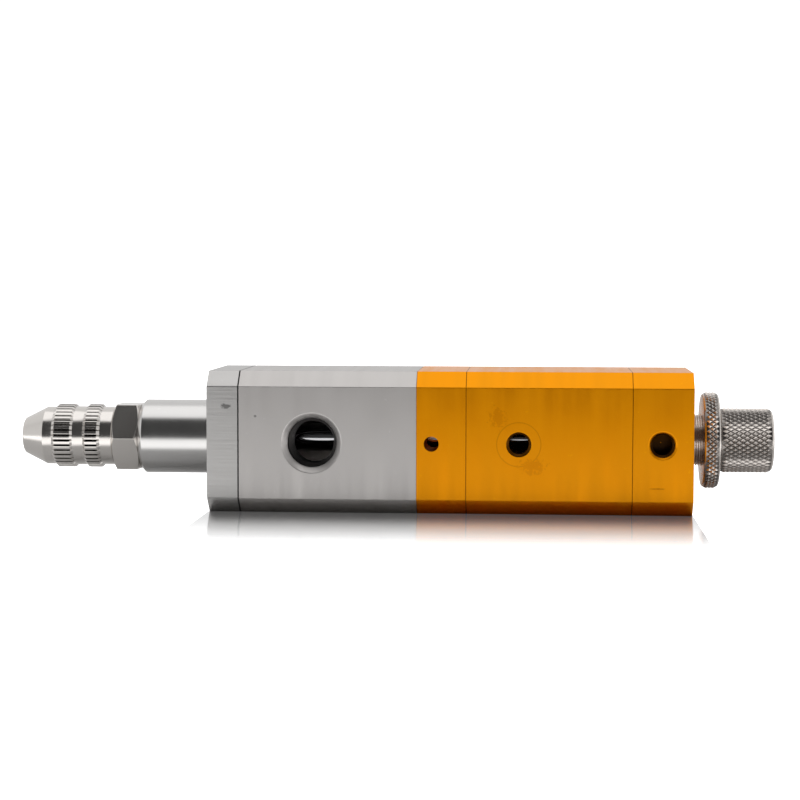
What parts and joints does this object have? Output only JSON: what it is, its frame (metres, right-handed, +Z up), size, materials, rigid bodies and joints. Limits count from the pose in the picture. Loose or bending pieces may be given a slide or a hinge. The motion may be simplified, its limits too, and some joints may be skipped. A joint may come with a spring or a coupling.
{
  "type": "pneumatic dispensing valve",
  "caption": "Pneumatic needle dispensing valve: square body with threaded ports, needle lock cap, and a knurled stroke adjuster with lock nut.",
  "frame": {"origin": "below the middle of the valve's whole length, on the surface that its square body lies on", "axes": "+X along the valve's axis from the needle cap to the adjusting knob, -Y out of the threaded ports, +Z up"},
  "size_m": [0.162, 0.03, 0.03],
  "materials": {
    "silver_aluminium": "fine machined, clear anodised, satin",
    "gold_aluminium": "fine machined, gold anodised, satin",
    "nickel_plate": "bright nickel plate on brass",
    "stainless": "turned stainless steel, satin",
    "screw_steel": "stainless socket screws",
    "rod_steel": "ground and hard-chromed",
    "spring_steel": "music wire",
    "seal_rubber": "nitrile or fluorine rubber, matt",
    "seal_polymer": "white PTFE",
    "bearing_bronze": "sintered bronze"
  },
  "bodies": {
    "valve_body": {"front_cap": "silver_aluminium", "front_cap_screws": "screw_steel", "front_cap_o_ring": "seal_rubber", "outlet_collar": "stainless", "valve_seat": "seal_polymer", "seat_o_ring": "seal_rubber", "needle_adapter": "nickel_plate", "adapter_o_ring": "seal_rubber", "fluid_body": "silver_aluminium", "fluid_rod_seal": "seal_polymer", "seal_retainer": "stainless", "spacer_block": "gold_aluminium", "rod_guide_bush": "bearing_bronze", "rod_o_ring": "seal_rubber", "spacer_o_ring": "seal_rubber", "cylinder_body": "gold_aluminium", "rear_cap": "gold_aluminium", "rear_cap_o_ring": "seal_rubber", "rear_tie_screws": "screw_steel", "return_spring": "spring_steel"},
    "rod_assembly": {"valve_rod": "rod_steel", "rod_tip": "stainless", "piston": "stainless", "piston_seal": "seal_rubber", "piston_washer": "stainless", "piston_nut": "stainless"},
    "gasket": {"needle_gasket": "seal_rubber"},
    "needle_cap": {"needle_lock_cap": "nickel_plate"},
    "adjuster_ring": {"adjuster_o_ring": "seal_rubber"},
    "adjuster": {"adjusting_knob": "nickel_plate"},
    "nut_washer": {"lock_nut_washer": "stainless"},
    "nut": {"lock_nut": "nickel_plate"}
  },
  "joints": [
    {"name": "valve_stroke", "type": "slide", "parent": "valve_body", "child": "rod_assembly", "axis": [1, 0, 0], "range_m": [0, 0.0012], "stiffness_N_per_m": 4000, "springref_m": -0.0045, "deforming": ["return_spring"]},
    {"name": "cap_slide", "type": "slide", "parent": "valve_body", "child": "gasket", "axis": [-1, 0, 0], "range_m": [0, 0.005]},
    {"name": "cap_turn", "type": "hinge", "parent": "gasket", "child": "needle_cap", "pos_m": [-0.07047, 0, 0.015], "axis": [-1, 0, 0], "range_deg": [0, 1800]},
    {"name": "adjuster_slide", "type": "slide", "parent": "valve_body", "child": "adjuster_ring", "axis": [1, 0, 0], "range_m": [-0.0012, 0.0018]},
    {"name": "adjuster_turn", "type": "hinge", "parent": "adjuster_ring", "child": "adjuster", "pos_m": [0.05563, 0, 0.015], "axis": [1, 0, 0], "range_deg": [-864, 1296]},
    {"name": "lock_nut_slide", "type": "slide", "parent": "adjuster", "child": "nut_washer", "axis": [1, 0, 0], "range_m": [-0.0012, 0]},
    {"name": "lock_nut_turn", "type": "hinge", "parent": "nut_washer", "child": "nut", "pos_m": [0.06772, 0, 0.015], "axis": [1, 0, 0], "range_deg": [-864, 0]}
  ],
  "couplings": [
    {"joint": "cap_slide", "follows": "cap_turn", "m_per_rad": 0.00015915},
    {"joint": "adjuster_slide", "follows": "adjuster_turn", "m_per_rad": 0.000079577},
    {"joint": "lock_nut_slide", "follows": "lock_nut_turn", "m_per_rad": 0.000079577}
  ]
}
